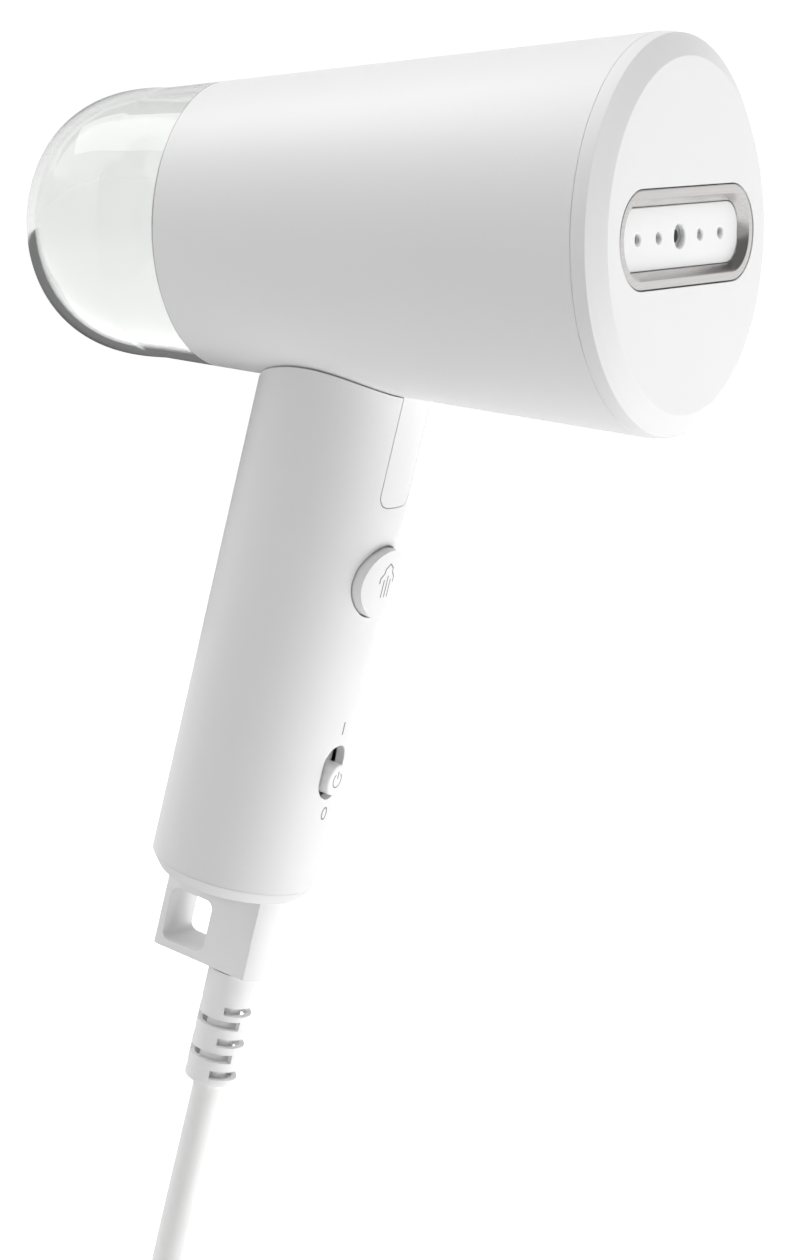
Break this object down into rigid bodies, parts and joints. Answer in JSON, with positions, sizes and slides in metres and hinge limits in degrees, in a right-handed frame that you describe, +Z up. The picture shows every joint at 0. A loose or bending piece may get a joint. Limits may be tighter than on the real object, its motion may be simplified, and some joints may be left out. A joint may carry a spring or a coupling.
{
  "type": "garment steamer",
  "caption": "Handheld travel garment steamer: conical head with a slotted steam outlet and clear water tank, folding handle with steam button, power slider, hanging loop and mains lead.",
  "frame": {"origin": "on the handle's axis in the middle of the grip, 100 mm below the head's axis", "axes": "+X forward to the steam plate, parallel to the head's axis; +Y to the left of a user who faces along +X; +Z up. The handle leans back from +Z by 15 degrees"},
  "size_m": [0.175, 0.1291, 0.3324],
  "materials": {
    "white_shell": "satin injection-moulded white ABS",
    "white_handle": "soft satin white ABS",
    "white_control": "satin white ABS, moulded marks in pale grey",
    "white_plate": "heat-resistant white, satin",
    "soft_white": "white flexible PVC, satin",
    "cord_white": "white PVC sheath, satin",
    "clear_tank": "clear frosted-tint copolyester, glossy",
    "bezel_metal": "brushed, bright edge",
    "aluminium_cast": "die-cast, matt",
    "steel": "plain",
    "brass": "nickel-free, plain",
    "silicone": "translucent grey silicone",
    "grey_plastic": "moulded, as drawn",
    "black_plastic": "moulded, as drawn",
    "board": "solder-mask green laminate"
  },
  "bodies": {
    "handle": {"handle_shell": "white_handle", "handle_top_cap": "white_handle", "hinge_pin": "steel", "detent_leaf": "steel", "inner_frame": "grey_plastic", "trigger_spring": "steel", "microswitch": "black_plastic", "slide_switch": "black_plastic", "control_board": "board", "end_cap": "white_handle", "hanging_loop": "soft_white", "strain_relief": "soft_white", "inner_lead": "cord_white", "cord_clamp": "grey_plastic", "end_cap_screw_right": "steel", "end_cap_screw_left": "steel", "cord_lead": "cord_white", "cord_coil": "cord_white", "cord_tail": "cord_white", "plug_body": "soft_white", "plug_pin_right": "brass", "plug_pin_left": "brass", "earth_contact_lower": "brass", "earth_contact_upper": "brass"},
    "head": {"front_cover": "white_shell", "steam_bezel": "bezel_metal", "steam_plate": "white_plate", "plate_gasket": "silicone", "head_shell": "white_shell", "boiler_lid": "aluminium_cast", "boiler_body": "aluminium_cast", "heating_element": "steel", "insulation_sleeve": "steel", "thermostat": "steel", "thermal_fuse": "white_plate", "feed_tube": "silicone", "pump_body": "black_plastic", "pump_bracket": "grey_plastic", "suction_tube": "silicone", "tank_socket": "white_plate", "socket_seal": "silicone"},
    "tank": {"tank_shell": "clear_tank", "tank_base": "white_plate", "outlet_valve": "silicone", "filler_stopper": "silicone"},
    "trigger": {"trigger_button": "white_control"},
    "slider": {"power_slider": "white_control"}
  },
  "joints": [
    {"name": "head_fold", "type": "hinge", "parent": "handle", "child": "head", "pos_m": [0.00067, 0, 0.05852], "axis": [0, -1, 0], "range_deg": [0, 75]},
    {"name": "tank_pull", "type": "slide", "parent": "head", "child": "tank", "axis": [-1, 0, 0], "range_m": [0, 0.04]},
    {"name": "trigger_press", "type": "slide", "parent": "handle", "child": "trigger", "axis": [-0.9659, 0, 0.2588], "range_m": [0, 0.0022], "stiffness_N_per_m": 900, "springref_m": -0.0015, "deforming": ["trigger_spring"]},
    {"name": "power_slide", "type": "slide", "parent": "handle", "child": "slider", "axis": [0.2588, 0, 0.9659], "range_m": [0, 0.004]}
  ]
}
